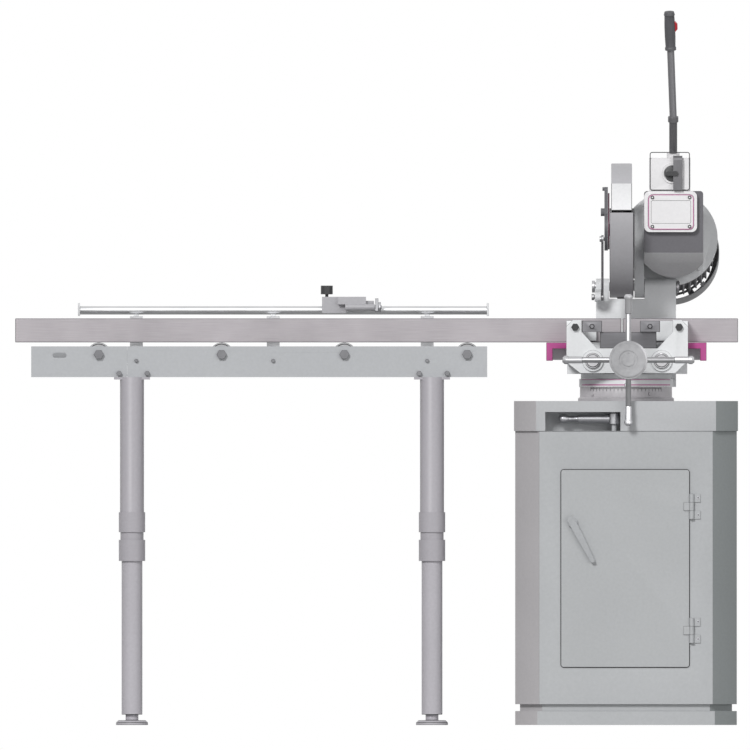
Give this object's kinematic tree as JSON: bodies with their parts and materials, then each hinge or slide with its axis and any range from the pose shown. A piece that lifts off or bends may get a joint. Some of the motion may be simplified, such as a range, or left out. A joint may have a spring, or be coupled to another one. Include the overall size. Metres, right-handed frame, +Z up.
{
  "type": "metal circular saw",
  "caption": "Cold circular saw on a cabinet, with a tilting geared head, swivelling turntable, handwheel vise and a roller feed table with a length stop.",
  "frame": {"origin": "on the floor, on the turntable's swivel axis, at the middle of the cabinet's underside", "axes": "+X to the operator's right along the workpiece, +Y away from the operator, +Z up"},
  "size_m": [1.807, 0.8269, 1.7859],
  "materials": {
    "cabinet_paint": "satin",
    "casting_paint": "satin",
    "tube_paint": "satin",
    "dark_paint": "satin",
    "magenta_paint": "satin",
    "maroon_paint": "satin",
    "bright_steel": "ground",
    "blade_steel": "ground",
    "mill_steel": "mill",
    "bronze": "machined",
    "black_plastic": "matte",
    "red_plastic": "gloss",
    "aluminium_rail": "anodised"
  },
  "bodies": {
    "stand": {"cabinet": "cabinet_paint", "cabinet_tray": "cabinet_paint", "coolant_tank": "dark_paint", "door_hinges": "cabinet_paint", "graduated_ring": "casting_paint", "vise_base": "casting_paint", "rear_fences": "bright_steel", "side_supports": "magenta_paint", "front_rail": "tube_paint", "rear_rail": "tube_paint", "cross_beams": "tube_paint", "table_fasteners": "bright_steel", "upper_legs": "tube_paint", "measuring_rail": "aluminium_rail"},
    "door": {"door": "cabinet_paint"},
    "door_handle": {"door_handle": "bright_steel"},
    "clamp_lever": {"clamp_lever": "black_plastic"},
    "jaw": {"vise_jaw": "casting_paint", "jaw_insert": "dark_paint", "guide_rods": "bright_steel"},
    "handwheel": {"handwheel": "bright_steel", "handwheel_grips": "black_plastic"},
    "stock_bar": {"stock_bar": "mill_steel"},
    "offcut": {"offcut": "mill_steel"},
    "turntable": {"swivel_ring": "casting_paint", "column": "casting_paint", "pivot_shaft": "bright_steel", "return_spring": "bright_steel"},
    "head": {"head_arm": "casting_paint", "fixed_guard": "casting_paint", "gear_housing": "dark_paint", "gear_cover": "casting_paint", "motor_flange": "dark_paint", "motor": "dark_paint", "fan_cover": "dark_paint", "switch_box": "casting_paint", "handle_lever": "bright_steel", "handle_grip": "black_plastic"},
    "movable_guard": {"movable_guard": "casting_paint", "guard_plate": "dark_paint", "guard_strip": "maroon_paint"},
    "guard_link": {"guard_link": "bright_steel"},
    "blade": {"saw_blade": "blade_steel", "spindle": "bright_steel", "worm_wheel": "bronze"},
    "worm": {"worm_shaft": "bright_steel"},
    "motor_rotor": {"motor_rotor": "bright_steel"},
    "rotary_switch": {"rotary_switch": "black_plastic"},
    "trigger": {"trigger": "red_plastic"},
    "leg_1": {"lower_leg_1": "tube_paint"},
    "leg_2": {"lower_leg_2": "tube_paint"},
    "leg_3": {"lower_leg_3": "tube_paint"},
    "leg_4": {"lower_leg_4": "tube_paint"},
    "roller_1": {"roller_1": "bright_steel"},
    "roller_2": {"roller_2": "bright_steel"},
    "roller_3": {"roller_3": "bright_steel"},
    "roller_4": {"roller_4": "bright_steel"},
    "length_stop": {"stop_carriage": "dark_paint"},
    "stop_knob": {"stop_knob": "black_plastic"},
    "stop_arm": {"stop_arm": "bright_steel"}
  },
  "joints": [
    {"name": "door_hinge", "type": "hinge", "parent": "stand", "child": "door", "pos_m": [0.1643, -0.263, 0.4], "axis": [0, 0, 1], "range_deg": [0, 110]},
    {"name": "door_handle_turn", "type": "hinge", "parent": "door", "child": "door_handle", "pos_m": [-0.134, -0.257, 0.507], "axis": [0, 1, 0], "range_deg": [-62, 0]},
    {"name": "clamp_lever_turn", "type": "hinge", "parent": "stand", "child": "clamp_lever", "pos_m": [-0.03, -0.226, 0.7655], "axis": [0, 0, 1], "range_deg": [0, 60]},
    {"name": "jaw_slide", "type": "slide", "parent": "stand", "child": "jaw", "axis": [0, -1, 0], "range_m": [0, 0.1]},
    {"name": "handwheel_turn", "type": "hinge", "parent": "jaw", "child": "handwheel", "pos_m": [0.006, -0.29, 0.9126], "axis": [0, 1, 0], "range_deg": [-3600, 0]},
    {"name": "stock_feed", "type": "slide", "parent": "stand", "child": "stock_bar", "axis": [-1, 0, 0], "range_m": [0, 0.3]},
    {"name": "offcut_removal", "type": "slide", "parent": "stand", "child": "offcut", "axis": [1, 0, 0], "range_m": [0, 0.25]},
    {"name": "turntable_swivel", "type": "hinge", "parent": "stand", "child": "turntable", "pos_m": [0, 0, 0.855], "axis": [0, 0, 1], "range_deg": [-45, 45]},
    {"name": "head_tilt", "type": "hinge", "parent": "turntable", "child": "head", "pos_m": [0, 0.2, 1.096], "axis": [1, 0, 0], "range_deg": [0, 41], "stiffness_Nm_per_rad": 120, "springref_deg": -68.75},
    {"name": "movable_guard_swing", "type": "hinge", "parent": "head", "child": "movable_guard", "pos_m": [0, 0.052, 1.238], "axis": [1, 0, 0], "range_deg": [-114, 0]},
    {"name": "guard_link_swing", "type": "hinge", "parent": "turntable", "child": "guard_link", "pos_m": [-0.052, 0.14, 1.07], "axis": [1, 0, 0], "range_deg": [0, 45.17]},
    {"name": "blade_spin", "type": "hinge", "parent": "head", "child": "blade", "pos_m": [0, 0.052, 1.238], "axis": [1, 0, 0], "continuous": true},
    {"name": "worm_spin", "type": "hinge", "parent": "head", "child": "worm", "pos_m": [0.11, 0.06366, 1.30093], "axis": [0, 0.9833, -0.1822], "continuous": true},
    {"name": "motor_spin", "type": "hinge", "parent": "head", "child": "motor_rotor", "pos_m": [0.11, 0.05475, 1.25285], "axis": [0, 0.9833, -0.1822], "continuous": true},
    {"name": "rotary_switch_turn", "type": "hinge", "parent": "head", "child": "rotary_switch", "pos_m": [0.115, -0.024, 1.379], "axis": [0, 1, 0], "range_deg": [0, 90]},
    {"name": "trigger_press", "type": "slide", "parent": "head", "child": "trigger", "axis": [-0.9993, 0.0089, -0.0356], "range_m": [0, 0.0035], "stiffness_N_per_m": 400},
    {"name": "leg_1_extension", "type": "slide", "parent": "stand", "child": "leg_1", "axis": [0, 0, -1], "range_m": [0, 0.15]},
    {"name": "leg_2_extension", "type": "slide", "parent": "stand", "child": "leg_2", "axis": [0, 0, -1], "range_m": [0, 0.15]},
    {"name": "leg_3_extension", "type": "slide", "parent": "stand", "child": "leg_3", "axis": [0, 0, -1], "range_m": [0, 0.15]},
    {"name": "leg_4_extension", "type": "slide", "parent": "stand", "child": "leg_4", "axis": [0, 0, -1], "range_m": [0, 0.15]},
    {"name": "roller_1_spin", "type": "hinge", "parent": "stand", "child": "roller_1", "pos_m": [-0.397, 0, 0.9263], "axis": [0, 1, 0], "continuous": true},
    {"name": "roller_2_spin", "type": "hinge", "parent": "stand", "child": "roller_2", "pos_m": [-0.704, 0, 0.9263], "axis": [0, 1, 0], "continuous": true},
    {"name": "roller_3_spin", "type": "hinge", "parent": "stand", "child": "roller_3", "pos_m": [-1.011, 0, 0.9263], "axis": [0, 1, 0], "continuous": true},
    {"name": "roller_4_spin", "type": "hinge", "parent": "stand", "child": "roller_4", "pos_m": [-1.318, 0, 0.9263], "axis": [0, 1, 0], "continuous": true},
    {"name": "length_stop_slide", "type": "slide", "parent": "stand", "child": "length_stop", "axis": [1, 0, 0], "range_m": [-0.35, 0.2]},
    {"name": "stop_knob_turn", "type": "hinge", "parent": "length_stop", "child": "stop_knob", "pos_m": [-0.748, 0.227, 1.0866], "axis": [0, 0, 1], "range_deg": [0, 180]},
    {"name": "stop_arm_flip", "type": "hinge", "parent": "length_stop", "child": "stop_arm", "pos_m": [-0.627, 0.193, 1.0446], "axis": [1, 0, 0], "range_deg": [-70, 0]}
  ],
  "couplings": [
    {"joint": "handwheel_turn", "follows": "jaw_slide", "rad_per_m": -628.32},
    {"joint": "movable_guard_swing", "follows": "head_tilt", "ratio": -2.78},
    {"joint": "guard_link_swing", "follows": "head_tilt", "ratio": 1.1},
    {"joint": "worm_spin", "follows": "blade_spin", "ratio": -36},
    {"joint": "motor_spin", "follows": "blade_spin", "ratio": 29.455}
  ]
}
